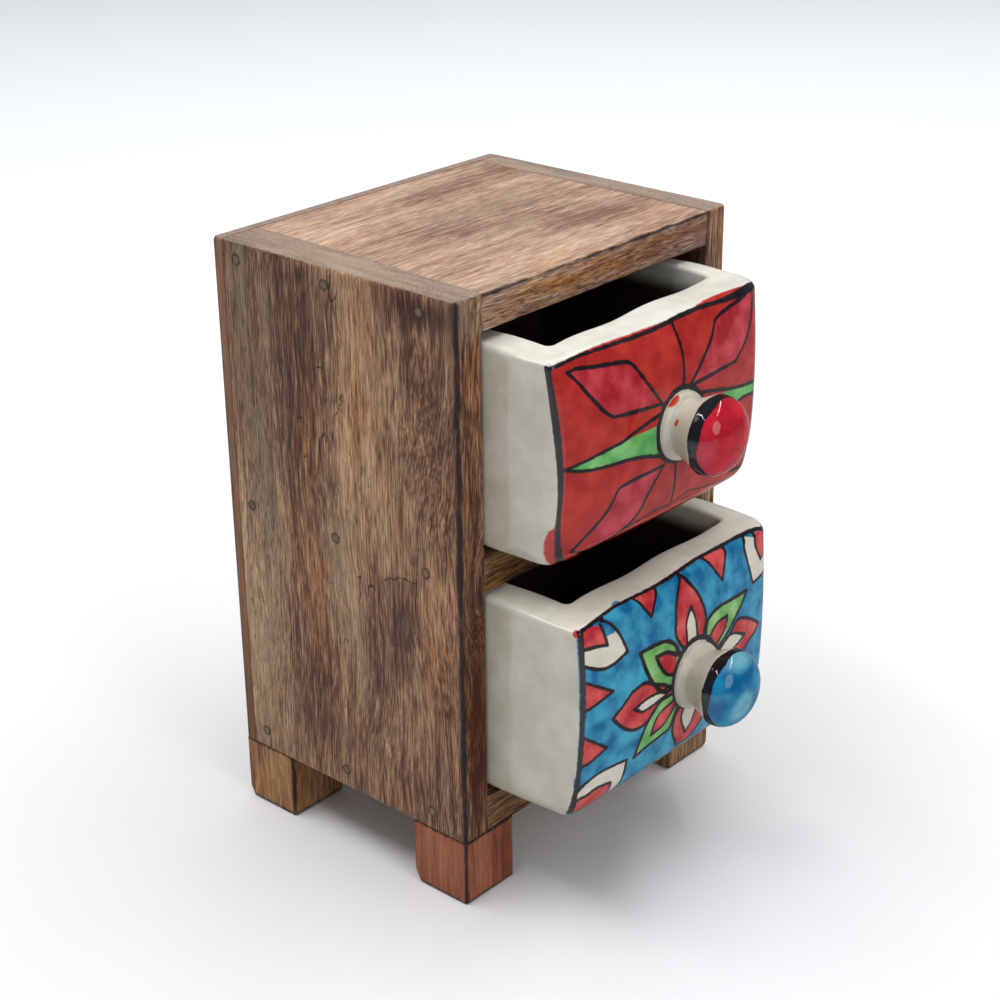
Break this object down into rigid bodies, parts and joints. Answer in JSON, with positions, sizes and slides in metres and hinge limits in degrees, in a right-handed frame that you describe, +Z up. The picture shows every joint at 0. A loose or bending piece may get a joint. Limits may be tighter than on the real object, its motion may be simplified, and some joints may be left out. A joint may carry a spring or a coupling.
{
  "type": "jewelry chest",
  "caption": "Small free-standing wooden chest on square feet, with two glazed ceramic drawers that slide out by round ceramic knobs.",
  "frame": {"origin": "on the floor under the middle of the chest's box, with the drawers pulled out as they stand at rest", "axes": "+Z up, +X to the right seen from the front, -Y towards the viewer, the way the drawers open"},
  "size_m": [0.104, 0.1322, 0.1626],
  "materials": {
    "side_board_wood": "waxed mango wood, matt",
    "cross_board_wood": "waxed mango wood, matt",
    "back_panel_wood": "thin stained board, matt",
    "foot_wood": "waxed mango wood, matt",
    "brad_steel": "bright wire",
    "wood_filler": "sanded filler, matt",
    "red_painted_ceramic": "cream glaze, front hand painted in red under the glaze",
    "red_knob_ceramic": "cream and red, glazed",
    "blue_painted_ceramic": "cream glaze, front hand painted in blue under the glaze",
    "blue_knob_ceramic": "cream and blue, glazed"
  },
  "bodies": {
    "case": {"left_side": "side_board_wood", "right_side": "side_board_wood", "top_panel": "cross_board_wood", "middle_shelf": "cross_board_wood", "bottom_panel": "cross_board_wood", "back_panel": "back_panel_wood", "foot_front_left": "foot_wood", "foot_front_right": "foot_wood", "foot_back_left": "foot_wood", "foot_back_right": "foot_wood", "left_side_brads": "brad_steel", "right_side_brads": "brad_steel", "back_brads": "brad_steel", "foot_brads": "brad_steel", "left_side_plugs": "wood_filler", "right_side_plugs": "wood_filler"},
    "upper_drawer": {"upper_drawer": "red_painted_ceramic", "upper_knob": "red_knob_ceramic"},
    "lower_drawer": {"lower_drawer": "blue_painted_ceramic", "lower_knob": "blue_knob_ceramic"}
  },
  "joints": [
    {"name": "upper_drawer_slide", "type": "slide", "parent": "case", "child": "upper_drawer", "axis": [0, -1, 0], "range_m": [-0.0208, 0.0392]},
    {"name": "lower_drawer_slide", "type": "slide", "parent": "case", "child": "lower_drawer", "axis": [0, -1, 0], "range_m": [-0.0283, 0.0317]}
  ]
}
